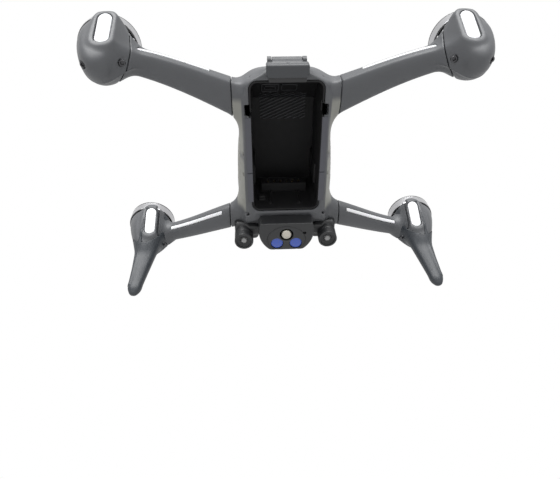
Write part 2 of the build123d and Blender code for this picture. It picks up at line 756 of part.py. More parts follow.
with BuildPart() as fan_rotor:
    add(post(fan_x, fan_y, FAN_BOTTOM + 1.8, FAN_BOTTOM + FAN_DEPTH - 1.2, 5.2))
    for index in range(FAN_BLADES):
        angle = 360 * index / FAN_BLADES
        blade_plane = Plane(
            origin=(fan_x, fan_y, FAN_BOTTOM + 4),
            x_dir=(cos(radians(angle + 90)), sin(radians(angle + 90)), 0.9),
            z_dir=(cos(radians(angle)), sin(radians(angle)), 0),
        )
        with BuildSketch(blade_plane):
            Rectangle(4.2, 0.7)
        extrude(amount=half - 2.4)
    add(post(fan_x, fan_y, FAN_BOTTOM, FAN_BOTTOM + 20, 1.5 + RUNNING), mode=Mode.SUBTRACT)
keep(fan_rotor.part, "fan_rotor")

# --- Export -----------------------------------------------------------------------------
for piece in pieces:
    export_step(piece, f"parts/{piece.label}.step")
    solids = piece.solids()
    print(piece.label, len(solids), round(sum(solid.volume for solid in solids), 1), piece.is_valid)
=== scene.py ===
"""Looks for a four-rotor camera drone that is seen from below and behind.

The moulded shells are made as distance fields in millimetres, cut into meshes, and placed where
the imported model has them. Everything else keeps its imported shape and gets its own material.
"""

import json
from math import cos, radians, sin

import bpy
import numpy as np
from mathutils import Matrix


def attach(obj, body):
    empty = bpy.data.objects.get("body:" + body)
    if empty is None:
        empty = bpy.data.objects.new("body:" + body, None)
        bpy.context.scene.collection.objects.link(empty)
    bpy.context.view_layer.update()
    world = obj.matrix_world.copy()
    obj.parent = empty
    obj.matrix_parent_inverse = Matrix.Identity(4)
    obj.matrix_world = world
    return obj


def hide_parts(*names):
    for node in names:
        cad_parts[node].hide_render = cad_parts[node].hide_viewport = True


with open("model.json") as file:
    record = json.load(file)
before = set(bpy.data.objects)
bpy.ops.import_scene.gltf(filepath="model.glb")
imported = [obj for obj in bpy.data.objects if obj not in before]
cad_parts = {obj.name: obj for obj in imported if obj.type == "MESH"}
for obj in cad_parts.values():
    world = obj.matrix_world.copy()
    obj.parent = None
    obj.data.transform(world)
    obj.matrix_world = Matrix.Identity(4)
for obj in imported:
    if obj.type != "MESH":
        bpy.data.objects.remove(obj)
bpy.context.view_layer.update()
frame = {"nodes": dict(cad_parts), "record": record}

import openvdb
from mathutils import Matrix, Vector

scene = bpy.context.scene
MM = 0.001

# --- Distance fields --------------------------------------------------------------------


def smooth_min(a, b, radius):
    """The union of two fields, with a fillet where they meet."""
    mix = np.clip(0.5 + 0.5 * (b - a) / radius, 0, 1)
    return b * (1 - mix) + a * mix - radius * mix * (1 - mix)


def smooth_max(a, b, radius):
    """The intersection of two fields, with a rounded edge where they meet."""
    return -smooth_min(-a, -b, radius)


def curve(knots, values):
    """A smooth function of one variable through the given values."""
    knots = np.asarray(knots, float)
    values = np.asarray(values, float)
    slopes = np.gradient(values, knots)

    def evaluate(t):
        t = np.clip(t, knots[0], knots[-1])
        index = np.clip(np.searchsorted(knots, t) - 1, 0, len(knots) - 2)
        span = knots[index + 1] - knots[index]
        s = (t - knots[index]) / span
        return (
            (1 + 2 * s) * (1 - s) ** 2 * values[index]
            + s * (1 - s) ** 2 * span * slopes[index]
            + s**2 * (3 - 2 * s) * values[index + 1]
            - s**2 * (1 - s) * span * slopes[index + 1]
        )

    return evaluate


def box_field(x, y, z, low, high, radius=0.0):
    """A box between two corners, with rounded edges."""
    middle = [(a + b) / 2 for a, b in zip(low, high)]
    half = [(b - a) / 2 - radius for a, b in zip(low, high)]
    dx, dy, dz = [abs(p - m) - h for p, m, h in zip((x, y, z), middle, half)]
    outside = np.sqrt(np.maximum(dx, 0) ** 2 + np.maximum(dy, 0) ** 2 + np.maximum(dz, 0) ** 2)
    return outside + np.minimum(np.maximum(dx, np.maximum(dy, dz)), 0) - radius


def slot_field(x, y, a, b, radius):
    """A round-ended bar in a plane, from point a to point b."""
    ax, ay = a
    bx, by = b
    length = (bx - ax) ** 2 + (by - ay) ** 2
    s = np.clip(((x - ax) * (bx - ax) + (y - ay) * (by - ay)) / length, 0, 1)
    return np.hypot(x - ax - s * (bx - ax), y - ay - s * (by - ay)) - radius


def surface_of(field, low, high, step):
    """The surface of a field inside a box, as points in millimetres and outward-facing quads."""
    axes = [np.arange(a, b + step, step) for a, b in zip(low, high)]
    x, y, z = np.meshgrid(*axes, indexing="ij", sparse=True)
    values = np.broadcast_to(field(x, y, z), [len(axis) for axis in axes])
    grid = openvdb.FloatGrid(4.0)
    grid.copyFromArray(np.clip(values, -4, 4).astype(np.float32))
    points, quads = grid.convertToQuads(0.0)
    points = points * step + np.array(low)
    a, b, c = points[quads[:, 0]], points[quads[:, 1]], points[quads[:, 2]]
    middle = points.mean(axis=0)
    volume = np.einsum("ij,ij->", a - middle, np.cross(b - middle, c - middle))
    return points, quads if volume > 0 else quads[:, ::-1]


def mesh_of(name, surface, mirrored=False):
    """A smooth-shaded mesh in metres from a surface in millimetres, or from its mirror image."""
    points, quads = surface
    if mirrored:
        points = points * np.array((-1, 1, 1))
        quads = quads[:, ::-1]
    mesh = bpy.data.meshes.new(name)
    mesh.from_pydata((points * MM).tolist(), [], quads.tolist())
    mesh.polygons.foreach_set("use_smooth", np.ones(len(quads), bool))
    mesh.update()
    return mesh


# --- The drone's shape ------------------------------------------------------------------
HULL_Y = (-57.5, -54, -51, -44, -25, 0, 30, 52, 62, 72)
bottom_half = curve(HULL_Y, (10.5, 15.6, 20.8, 24.6, 25.8, 26.3, 26.5, 26, 21, 14))
bottom_level = curve(HULL_Y, (36.5, 34.4, 34, 34, 34, 34, 34, 34.6, 41, 52))
widest = curve(HULL_Y, (12, 16.8, 21.8, 26.2, 28.2, 31.4, 32.4, 31, 26.5, 20))
widest_level = curve(HULL_Y, (40, 43, 45, 49, 51, 53, 53, 54, 59, 66))
top_level = curve(HULL_Y, (44, 57, 65, 79, 95, 102, 103, 98, 93.5, 86))
SPLIT = 66.0  # parting plane between lower hull and canopy
WALL = 1.8

# Each arm: points on its axis, then half chord and half height at each
ARMS = {
    "rear": (
        ((16, -30, 50), (29, -37, 45.8), (81.5, -65.5, 24), (98, -72, 16)),
        (13.6, 11.8, 7.5, 6.8),
        (9.2, 8.0, 6.0, 5.7),
    ),
    "front": (
        ((18, 45, 49), (38.5, 51.5, 49.5), (85, 68.5, 54.5), (101.5, 71.5, 54.5)),
        (10.2, 9.0, 6.4, 6.1),
        (7.4, 6.7, 5.8, 5.7),
    ),
}
MOTORS = {"rear": (98.0, -70.0, 31.0), "front": (101.5, 70.0, 64.5)}
SEAMS = {"rear": 33.0, "front": 39.0}  # x of the joint between hull and arm
POD_SEAM = 12.5  # how far inboard of the arm's tip the pod ends
POD_RADIUS = 16.1
POD_SHOULDER = -6.0  # height from the rim where the pod's round underside starts
POD_REACH = 25.0
pod_slimness = curve((-31, -24, -16, -8, -1), (0.80, 0.78, 0.80, 0.88, 0.98))
LAMP_CENTRE = (-3.2, -14.0, -13.0)
LAMP_LEAN = radians(26)
LAMP_ENDS = ((0, -7.1), (0, 7.1))  # centres of the lamp's round ends, across and along its face
LAMP_RADIUS = 3.75
ROTOR_CLEARANCE = 18.2  # radius kept free around each rotor
LEG_TOP = (99.5, 69.0, 45.5)
LEG_TIP = (105.5, 81.5, 4.0)
NOSE_OPENING = ((-20, 61, 55), (17.5, 100, 82))
BAY_NOTCH = ((20.5, -36.5, 20), (25.5, -29.4, 41))
VENT_PANEL = ((20, -8, 44), (60, 20, 57))
VENT_POCKET = ((20, -8.1, 43.9), (60, 20.1, 57.1))
CORNER_SCREW = (26.5, 41.0)
BELLY_LAMP_Y = 51.0
BELLY_LENS = (6.5, 58.5)
VISION_SENSOR = (29.5, 59.0)
PLUG_AXIS = (-60.5, 37.5)  # y and z of the plug's hinge pin
CAMERA_AXIS = (77.0, 68.0)  # y and z of the camera's tilt axis


def fuselage(x, y, z):
    """The closed fuselage without arms."""
    ax = abs(x)
    half, level = widest(y), widest_level(y)
    rise = np.maximum(z - level, 0) / (top_level(y) - level)
    upper = ((ax / half) ** 2.7 + rise**2.4) ** (1 / 2.55) * half - half
    drop = np.clip((level - z) / (level - bottom_level(y)), 0, 1.4)
    side = ax - half + (half - bottom_half(y)) * drop**1.7
    body = np.where(z > level, upper, side)
    body = smooth_max(body, bottom_level(y) - z, 2.2)
    body = smooth_max(body, -57.5 - y + 0.25 * (z - 36), 2.5)
    return smooth_max(body, y - 72, 4)


def arm_frame(which, x, y, z):
    """For each point: distance along the arm, and offsets rearward and upward from its axis."""
    points, half_chords, half_heights = ARMS[which]
    points = np.array(points, float)
    start, end = points[1], points[2]
    direction = (end - start) / np.linalg.norm(end - start)
    rearward = np.cross(direction, (0, 0, 1))
    rearward /= np.linalg.norm(rearward)
    upward = np.cross(rearward, direction)
    relative = (x - points[0][0], y - points[0][1], z - points[0][2])
    t = sum(r * d for r, d in zip(relative, direction))
    stations = [(p - points[0]) @ direction for p in points]

    def offset(axis):
        bend = curve(stations, [(p - points[0]) @ axis for p in points])
        return sum(r * d for r, d in zip(relative, axis)) - bend(t)

    u, v = offset(rearward), offset(upward)
    return t, u, v, curve(stations, half_chords)(t), curve(stations, half_heights)(t), stations


def arm_field(which, x, y, z):
    """A whole arm, from inside the fuselage to the motor's axis."""
    t, u, v, chord, height, stations = arm_frame(which, x, y, z)
    body = ((abs(u) / chord) ** 2.3 + (abs(v) / height) ** 2.3) ** (1 / 2.3) * height - height
    if which == "rear":
        body = smooth_max(body, u - 0.84 * chord, 1.0)
    return smooth_max(body, np.maximum(stations[0] - t, t - stations[-1]), 2)


def lamp_frame(which, x, y, z):
    """For each point: offsets across, along and outward from the middle of a pod's lamp face."""
    mx, my, rim = MOTORS[which]
    dx, dy, dz = x - mx - LAMP_CENTRE[0], y - my - LAMP_CENTRE[1], z - rim - LAMP_CENTRE[2]
    along = -dy * sin(LAMP_LEAN) + dz * cos(LAMP_LEAN)
    outward = -dy * cos(LAMP_LEAN) - dz * sin(LAMP_LEAN)
    return dx, along, outward


def pod_field(which, x, y, z):
    """A motor pod: round body, lamp hood and lamp face."""
    dx, along, outward = lamp_frame(which, x, y, z)
    mx, my, rim = MOTORS[which]
    x, y, z = x - mx, y - my, z - rim
    wide = np.hypot(x / pod_slimness(z), y) / POD_RADIUS
    deep = np.maximum(POD_SHOULDER - z, 0) / POD_REACH
    body = ((wide**1.9 + deep**1.9) ** (1 / 1.9) - 1) * POD_RADIUS * 0.9
    # The flank facing inboard and aft is cut back, so that the motor's base shows beside it
    aside = -0.80 * x - 0.60 * y - 13.2 - 0.7 * np.clip(-1 - z, 0, 40)
    body = smooth_max(body, aside * 0.8, 1.2)
    hood_half = 6.0 + np.clip(-outward, 0, 20) * 0.4
    hood = slot_field(dx, along, (0, -7.2), (0, 8.2), hood_half)
    hood = smooth_max(hood, outward, 1.5)
    hood = smooth_max(hood, -outward - 16, 1.5)
    body = smooth_max(body, outward + 0.3, 3)
    body = smooth_min(body, hood, 3)
    clear = np.maximum(np.hypot(x, y) - ROTOR_CLEARANCE, -1 - z)
    return np.maximum(smooth_max(body, -clear, 0.6), z - 3)


def leg_field(x, y, z):
    """A landing leg from its pod down to the ground."""
    a, b = np.array(LEG_TOP), np.array(LEG_TIP)
    direction = (b - a) / np.linalg.norm(b - a)
    across = np.array((1.0, 0, 0)) - direction[0] * direction
    across /= np.linalg.norm(across)
    normal = np.cross(direction, across)
    relative = (x - a[0], y - a[1], z - a[2])
    t = sum(r * d for r, d in zip(relative, direction)) / np.linalg.norm(b - a)
    u = sum(r * d for r, d in zip(relative, across))
    v = sum(r * d for r, d in zip(relative, normal))
    stations = (0, 0.18, 0.5, 0.85, 1.0, 1.09)
    half_width = curve(stations, (9.0, 8.2, 6.6, 4.9, 4.2, 2.0))(t)
    half_thickness = curve(stations, (6, 5.2, 4.4, 3.6, 3.3, 1.6))(t)
    body = ((abs(u) / half_width) ** 2.4 + (abs(v) / half_thickness) ** 2.4) ** (1 / 2.4)
    body = (body - 1) * half_thickness
    body = smooth_max(body, (t - 1.09) * 45, 1.5)
    return smooth_max(body, -z, 0.4)


# --- Shells -----------------------------------------------------------------------------
FILLETS = {"rear": 9.0, "front": 7.0}
STRIPS = {"rear": (45.0, 82.5), "front": (45.0, 84.0)}  # x where each light strip starts and ends
STRIP_HALF_WIDTH = 1.15
SCREWS = ((-11.8, 1.2, -20.8), (6.6, 0.6, -24.2))  # pod screw heads, from the motor axis and rim


BAY_HALF_WIDTH = 21.5
BAY_HALF_LENGTH = 43.35
BAY_MIDDLE = -5.95
BAY_REAR = -49.3
BAY_CORNER = 4.0
BAY_TOP = 78.0
BAY_TAIL_TOP = 50.0  # level of the sloping roof at the bay's rear wall
ROOF_SLOPE = 28 / 24
LINER = 1.4  # how far the liner reaches outside the bay's space


def bay_roof(y, grow=0.0):
    """The level of the bay's roof, which slopes down towards the tail."""
    sloping = BAY_TAIL_TOP + grow + (y - BAY_REAR + grow) * ROOF_SLOPE
    return np.minimum(BAY_TOP + grow, sloping)


def bay_field(x, y, z, grow):
    """The battery bay's space with its sloping rear roof, grown on every side."""
    dx = abs(x) - (BAY_HALF_WIDTH - BAY_CORNER)
    dy = abs(y - BAY_MIDDLE) - (BAY_HALF_LENGTH - BAY_CORNER)
    flat = np.hypot(np.maximum(dx, 0), np.maximum(dy, 0)) + np.minimum(np.maximum(dx, dy), 0)
    return np.maximum(flat - BAY_CORNER - grow, z - bay_roof(y, grow))


def arm_and_hull(which, x, y, z):
    """The fuselage with one arm blended into it."""
    return smooth_min(fuselage(x, y, z), arm_field(which, x, y, z), FILLETS[which])


def bare_fuselage(x, y, z):
    """The fuselage with the step behind its belly sensors."""
    ax = abs(x)
    arch = 42.5 + 8.0 * (ax / 31) ** 2
    step = np.maximum(arch - y, z - 38.6)
    lip = np.maximum(np.maximum(abs(y - 40.2) - 1.1, ax - 21), abs(z - 33.6) - 0.9)
    body = smooth_max(fuselage(x, y, z), -step, 0.8)
    return smooth_min(body, lip, 0.8)


def lower_hull(x, y, z):
    """The lower hull: a shell with four arm stubs, the bay's opening and recesses."""
    ax = abs(x)
    body = bare_fuselage(x, y, z)
    hollow = body + WALL
    for which in ARMS:
        arm = arm_field(which, ax, y, z)
        body = smooth_min(body, arm, FILLETS[which])
        hollow = np.minimum(hollow, arm + WALL)
    seam = np.where(y < 5, SEAMS["rear"], SEAMS["front"]) - 0.15
    body = np.maximum(body, ax - seam)
    body = np.maximum(body, -hollow)
    # Parting groove across the tail between hull and rear arms
    groove = np.maximum(abs(ax - 24) - 6, np.hypot(y + 50.6, z - 41) - 0.55)
    body = np.maximum(body, -groove)
    body = smooth_max(body, -bay_field(x, y, z, LINER), 0.5)
    body = np.maximum(body, -box_field(ax, y, z, *BAY_NOTCH, 0.4))
    body = np.maximum(body, -box_field(ax, y, z, *VENT_POCKET, 0.6))
    body = np.maximum(body, -box_field(ax, y, z, *NOSE_OPENING, 1.5))
    # Screw recesses at the bay's front corners, and catches along the flank
    corner = np.hypot(ax - CORNER_SCREW[0], y - CORNER_SCREW[1])
    body = np.maximum(body, -np.maximum(corner - 1.5, z - 36.2))
    body = np.minimum(body, np.maximum(corner - 1.1, np.maximum(z - 36.5, 35.0 - z)))
    for y0 in (-3.0, 12.0):
        slit = box_field(ax, y, z, (26.8, y0 - 1.3, 36.2), (40, y0 + 1.3, 38.4), 0.3)
        body = np.maximum(body, -slit)
    return smooth_max(body, z - SPLIT, 0.4)


def top_canopy(x, y, z):
    """The canopy: a shell with air slots, a raised spine, a nose opening and a switch."""
    ax = abs(x)
    outer = fuselage(x, y, z)
    crease = outer + 0.55 * np.clip(1 - abs(ax - 17.5) / 1.1, 0, 1) * (z > 80)
    body = smooth_max(crease, -(outer + WALL), 0.3)
    for index in range(5):
        slot = box_field(x, y, z, (-9, 5 * index - 5.0, 88), (9, 5 * index - 3.0, 120), 0.9)
        body = smooth_max(body, -slot, 0.4)
    for index in range(3):
        gill = box_field(ax, y, z, (24, 24 + 5 * index, 70), (50, 26.4 + 5 * index, 80), 0.9)
        body = smooth_max(body, -gill, 0.3)
    ring = abs(np.hypot(x, y + 32) - 5.2) - 0.35
    body = np.maximum(body, -np.maximum(ring, top_level(y) - 3.2 - z))
    body = np.maximum(body, -box_field(ax, y, z, *NOSE_OPENING, 1.5))
    return smooth_max(body, SPLIT + 0.3 - z, 0.4)


def side_vent(x, y, z):
    """A slatted vent panel in the right flank."""
    outer = arm_and_hull("front", x, y, z)
    body = smooth_max(outer + 0.15, -(outer + WALL), 0.3)
    body = np.maximum(body, box_field(x, y, z, *VENT_PANEL, 0.5))
    for index in range(5):
        slot = box_field(x, y, z, (20, 4 * index - 3, 46.5), (60, 4 * index - 1.4, 54.5), 0.5)
        body = smooth_max(body, -slot, 0.3)
    return body


def strip_field(which, x, y, z, grow):
    """The light strip let into an arm's rear edge."""
    _, u, v, _, height, _ = arm_frame(which, x, y, z)
    surface = arm_field(which, x, y, z)
    start, end = STRIPS[which]
    if which == "rear":
        offset = abs(v - 0.62 * height + 2.9)
        behind = -u
    else:
        lean = radians(-38)
        offset = abs(-u * sin(lean) + v * cos(lean) - 0.6)
        behind = -(u * cos(lean) + v * sin(lean))
    length = np.maximum(start - x, x - end) - grow
    depth = np.maximum(surface - 0.3 - grow, -(surface + 1.2))
    band = np.maximum(offset - STRIP_HALF_WIDTH - grow, depth)
    return np.maximum(np.maximum(band, length), behind)


def arm_and_pod(which, x, y, z):
    """An arm blended into its pod and into the fuselage, clear of the rotor."""
    mx, my, rim = MOTORS[which]
    whole = smooth_min(arm_and_hull(which, x, y, z), pod_field(which, x, y, z), 6)
    clear = np.maximum(np.hypot(x - mx, y - my) - ROTOR_CLEARANCE, rim - 1 - z)
    return smooth_max(whole, -clear, 0.6)


def pod_seam(which, x, y, z):
    """Distance outboard of the joint between an arm and its pod."""
    _, inner, outer, tip = np.array(ARMS[which][0], float)
    direction = (outer - inner) / np.linalg.norm(outer - inner)
    return sum((p - q) * d for p, q, d in zip((x, y, z), tip, direction)) + POD_SEAM


def arm_shell(which):
    """The field of one arm between the hull's seam and the pod's seam."""

    def field(x, y, z):
        body = arm_and_pod(which, x, y, z)
        body = smooth_max(body, pod_seam(which, x, y, z) + 0.18, 0.3)
        body = smooth_max(body, SEAMS[which] + 0.15 - x, 0.3)
        return np.maximum(body, -strip_field(which, x, y, z, 0.12))

    return field


def pod_shell(which):
    """The field of one motor pod with its lamp recess and screw holes."""
    mx, my, rim = MOTORS[which]

    def field(x, y, z):
        body = arm_and_pod(which, x, y, z)
        body = smooth_max(body, 0.18 - pod_seam(which, x, y, z), 0.3)
        dx, along, outward = lamp_frame(which, x, y, z)
        lamp = slot_field(dx, along, *LAMP_ENDS, LAMP_RADIUS + 0.2)
        body = smooth_max(body, -np.maximum(lamp, -outward - 1.7), 0.4)
        for sx, sy, sz in SCREWS:
            hole = np.hypot(x - mx - sx, y - my - sy)
            body = smooth_max(body, -np.maximum(hole - 2.0, z - rim - sz), 0.3)
        bore = np.maximum(np.hypot(x - mx, y - my) - 4.5, rim - 5 - z)
        return np.maximum(body, -bore)

    return field


def pod_lamp(which):
    """The field of a crowned, round-ended lamp."""

    def field(x, y, z):
        dx, along, outward = lamp_frame(which, x, y, z)
        edge = slot_field(dx, along, *LAMP_ENDS, LAMP_RADIUS)
        return smooth_max(edge, np.maximum(outward - 0.25 + 0.03 * dx**2, -outward - 1.6), 0.8)

    return field


def leg_shell(x, y, z):
    """A landing leg, flared into its pod."""
    leg = leg_field(x, y, z)
    pod = pod_field("front", x, y, z)
    flare = smooth_min(leg, pod, 4)
    body = smooth_max(flare, -(pod - 0.1), 0.3)
    dx, along, outward = lamp_frame("front", x, y, z)
    lamp = slot_field(dx, along, (0, -7.0), (0, 7.0), 4.6)
    body = smooth_max(body, -np.maximum(lamp, -outward - 0.2), 0.8)
    crest = LEG_TOP[0] + 4.0 + (LEG_TOP[2] - z) * 0.145
    ridge = 0.5 * np.clip(1 - abs(x - crest) / 1.6, 0, 1)
    return body - ridge * (z > 6)


# --- Turned and moulded small parts -------------------------------------------------------
def fold(x, y, count):
    """Turns a point about the axis into the sector on +X, so that a shape repeats around it."""
    angle = np.arctan2(y, x)
    step = 2 * np.pi / count
    angle = angle - step * np.round(angle / step)
    radius = np.hypot(x, y)
    return radius * np.cos(angle), radius * np.sin(angle)


BELL_TOP = 9.6
BAND_RADIUS = 16.2  # faces of the bell beyond this radius, between the band's two edges, are bare metal
BAND_EDGES = (0.9, BELL_TOP - 2.0)
HUB_SEAT = 12.0  # the propeller seat's foot above the rim
STATOR_DROP = 1.0  # the pod's top below the rim


def bell(x, y, z):
    """A rotor bell with a windowed cap, a machined band and a shaft; its rim is at z = 0."""
    radius = np.hypot(x, y)
    half = BELL_TOP / 2
    outer = smooth_max(radius - 16.6, abs(z - half) - half, 1.6)
    outer = np.maximum(outer, -(np.hypot(radius - 16.9, z - BELL_TOP + 2.2) - 0.45))
    outer = np.maximum(outer, -(np.hypot(radius - 16.9, z - 0.9) - 0.4))
    inner = np.maximum(radius - 15.6, z - BELL_TOP + 1.5)
    body = smooth_max(outer, -inner, 0.25)
    px, py = fold(x, y, 6)
    window = slot_field(px, py, (11.3, -3.0), (11.3, 3.0), 1.7)
    body = smooth_max(body, -np.maximum(window, BELL_TOP - 3 - z), 0.35)
    body = np.maximum(body, -(np.hypot(radius - 14.2, z - BELL_TOP) - 0.45))
    shaft = np.maximum(radius - 2.0, np.maximum(-0.5 - z, z - BELL_TOP + 1))
    return np.minimum(body, shaft)


def hub(x, y, z):
    """A quick-release propeller seat; its foot is at z = 0."""
    radius = np.hypot(x, y)
    base = smooth_max(radius - 8.0, abs(z + 0.2) - 2.2, 0.5)
    boss = smooth_max(radius - 4.0, abs(z - 3.0) - 3.0, 0.6)
    body = smooth_min(base, boss, 0.6)
    px, py = fold(x, y, 3)
    body = smooth_max(body, -np.maximum(np.hypot(px - 6.1, py) - 0.9, 1 - z), 0.2)
    px, py = fold(x, y, 2)
    key = box_field(px, py, z, (2.6, -1.0, 3.0), (3.9, 1.0, 7), 0.2)
    body = smooth_max(body, -key, 0.15)
    socket = np.maximum(np.hypot(x, y) - 1.2, 4.6 - z)
    return smooth_max(body, -socket, 0.15)


def stator_base(x, y, z):
    """The bright base disc and bearing tube; the pod's top is at z = 0."""
    radius = np.hypot(x, y)
    disc = smooth_max(radius - 15.3, abs(z - 0.8) - 0.8, 0.4)
    px, py = fold(x, y, 9)
    disc = smooth_max(disc, -(np.hypot(px - 12.0, py) - 1.0), 0.2)
    ring = np.hypot(radius - 9.2, z - 1.6) - 0.35
    tube = smooth_max(radius - 4.6, abs(z - 4.2) - 4.2, 0.3)
    body = np.maximum(np.minimum(disc, tube), -ring)
    return np.maximum(body, 2.1 - radius)


def stator_core(x, y, z):
    """The laminated core with twelve teeth."""
    radius = np.hypot(x, y)
    px, py = fold(x, y, 12)
    yoke = np.maximum(radius - 7.0, 4.5 - radius)
    tooth = np.maximum(abs(py) - 0.9, abs(px - 10) - 4.2)
    tip = np.maximum(abs(radius - 13.9) - 0.65, abs(py) - 2.9)
    body = np.minimum(yoke, np.minimum(tooth, tip))
    layers = 0.06 * np.cos(z * 2 * np.pi / 0.7)
    return np.maximum(body - layers, abs(z - 5) - 2.4)


def screw_head(x, y, z):
    """A socket-head screw with its seat at z = 0 and its head below."""
    radius = np.hypot(x, y)
    head = smooth_max(radius - 1.75, abs(z + 0.7) - 0.7, 0.3)
    px, _ = fold(x, y, 6)
    head = smooth_max(head, -np.maximum(px - 0.85, z + 0.5), 0.1)
    return np.minimum(head, np.maximum(radius - 0.95, abs(z - 1) - 1))


def windings(x, y, z):
    """Copper wire wound on each tooth, turn by turn."""
    px, py = fold(x, y, 12)
    coil = box_field(px, py, z, (7.4, -2.0, 2.0), (12.9, 2.0, 8.0), 1.2)
    turns = 0.16 * np.cos(px * 2 * np.pi / 0.62)
    return coil - turns


def belly_housing(x, y, z):
    """The sensor puck under the nose, with sockets for its lamp and lenses."""
    ax = abs(x)
    radius = np.hypot(x, y - 49)
    body = smooth_max(radius - 19, 22 - z, 1.4)
    body = smooth_max(body, np.maximum(42 - y, y - 64), 1.0)
    body = np.maximum(body, z - 40)
    face = abs(np.hypot(x, (y - 55) * 1.25) - 13.2) - 0.35
    body = np.maximum(body, -np.maximum(face, z - 22.5))
    lamp = np.hypot(x, y - BELLY_LAMP_Y)
    body = smooth_max(body, -np.maximum(lamp - 4.7, z - 25), 0.3)
    body = smooth_min(body, np.hypot(lamp - 5.3, z - 22.2) - 0.55, 0.5)
    lens = np.hypot(ax - BELLY_LENS[0], y - BELLY_LENS[1])
    body = smooth_max(body, -np.maximum(lens - 4.3, z - 25), 0.3)
    pin = np.hypot(x - 12.5, y - 50)
    body = smooth_max(body, -np.maximum(pin - 1.1, z - 24), 0.2)
    seam = np.maximum(abs(z - 27.5) - 0.3, 18.4 - radius)
    return np.maximum(body, -np.maximum(seam, -(body + 0.6)))


def belly_dome(x, y, z):
    """The faceted reflector between the lenses."""
    radius = np.hypot(x, y - BELLY_LAMP_Y)
    angle = np.arctan2(y - BELLY_LAMP_Y, x)
    ball = np.sqrt(radius**2 + (z - 24.6) ** 2) - 4.4
    ripple = 0.12 * np.cos(24.6 - z + 3.2 * radius) + 0.1 * np.cos(angle * 16)
    return np.maximum(np.maximum(ball - ripple, z - 24.9), radius - 4.6)


def belly_windows(x, y, z):
    """Two crowned optical windows."""
    lens = np.hypot(abs(x) - BELLY_LENS[0], y - BELLY_LENS[1])
    crown = 22.3 + 0.028 * lens**2
    return smooth_max(lens - 4.25, np.maximum(crown - z, z - 25), 0.3)


def vision_bracket(x, y, z):
    """The foot that carries a forward vision barrel."""
    body = box_field(x, y, z, (19, 51, 36.5), (36.1, 65, 46), 3.0)
    web = box_field(x, y, z, (17, 52.5, 34.5), (28, 60, 42), 2.0)
    return smooth_min(body, web, 2)


def vision_barrel(x, y, z):
    """A stepped barrel with a bored front."""
    radius = np.hypot(x - VISION_SENSOR[0], y - VISION_SENSOR[1])
    body = smooth_max(radius - 6.6, 26 - z, 0.9)
    body = smooth_max(body, -np.maximum(radius - 5.1, z - 28.5), 0.3)
    body = np.maximum(body, -(np.hypot(radius - 6.8, z - 32) - 0.5))
    steps = 28.2 - 0.45 * np.floor(np.clip((radius - 2.0) / 1.0, 0, 3))
    body = np.minimum(body, np.maximum(np.maximum(radius - 5.2, steps - z), z - 29))
    return np.maximum(body, z - 40)


def vision_lens(x, y, z):
    """A small crowned lens."""
    radius = np.hypot(x - VISION_SENSOR[0], y - VISION_SENSOR[1])
    return np.maximum(np.sqrt(radius**2 + (z - 29.0) ** 2) - 2.6, z - 29)


def plug_body(x, y, z):
    """The hinged plug block with its knuckle and ribs."""
    ax = abs(x)
    body = box_field(x, y, z, (-12.3, -62, 26), (12.3, -55, 33.6), 1.3)
    lip = box_field(x, y, z, (-11.6, -56.5, 26.4), (11.6, -54.4, 32.6), 0.6)
    body = smooth_min(body, lip, 0.4)
    knuckle = np.maximum(np.hypot(y - PLUG_AXIS[0], z - PLUG_AXIS[1]) - 2.8, ax - 8.7)
    neck = box_field(x, y, z, (-8.7, -62.5, 31), (8.7, -58.5, 37.5), 0.4)
    body = smooth_min(body, np.minimum(knuckle, neck), 0.8)
    rib = np.maximum(abs(z - 29.8) - 0.3, abs(ax - 6) - 5)
    body = np.maximum(body, -np.maximum(rib, y + 61.6))
    bore = np.hypot(y - PLUG_AXIS[0], z - PLUG_AXIS[1]) - 1.28
    return np.maximum(body, -bore)


def plug_tongue(x, y, z):
    """The contact tongue with four sockets."""
    ax = abs(x)
    body = box_field(x, y, z, (-11.0, -55.2, 27.4), (11.0, -51.4, 31.6), 0.9)
    for centre in (3, 8):
        slot = box_field(ax, y, z, (centre - 1.2, -53.5, 28.6), (centre + 1.2, -49, 30.4), 0.2)
        body = np.maximum(body, -slot)
    return body


def camera_body(x, y, z):
    """The tilting camera: a barrel across, with a square front around the lens."""
    ax = abs(x)
    barrel = smooth_max(np.hypot(y - CAMERA_AXIS[0], z - CAMERA_AXIS[1]) - 9.5, ax - 11, 1.6)
    front = box_field(x, y, z, (-8.5, 74, 60.5), (8.5, 89, 75.5), 3.2)
    body = smooth_min(barrel, front, 2)
    ring = np.hypot(x, z - CAMERA_AXIS[1])
    body = smooth_min(body, np.maximum(abs(ring - 6.3) - 0.6, abs(y - 88.4) - 1.2), 0.4)
    body = smooth_max(body, -np.maximum(ring - 5.6, 86.5 - y), 0.25)
    body = np.maximum(body, -np.maximum(abs(y - 82.5) - 0.3, -(body + 0.6)))
    axle = np.maximum(np.hypot(y - CAMERA_AXIS[0], z - CAMERA_AXIS[1]) - 2.0, ax - 15.1)
    return np.minimum(body, axle)


def camera_lens(x, y, z):
    """Stepped lens ring and crowned front glass."""
    ring = np.hypot(x, z - CAMERA_AXIS[1])
    steps = 89.4 - 0.5 * np.floor(np.clip((5.5 - ring) / 0.9, 0, 3))
    seat = np.maximum(ring - 5.5, np.maximum(y - steps, 86.5 - y))
    glass = np.sqrt(ring**2 + (y - 84.2) ** 2) - 5.0
    return np.minimum(seat, np.maximum(np.maximum(glass, ring - 4.4), 86.5 - y))


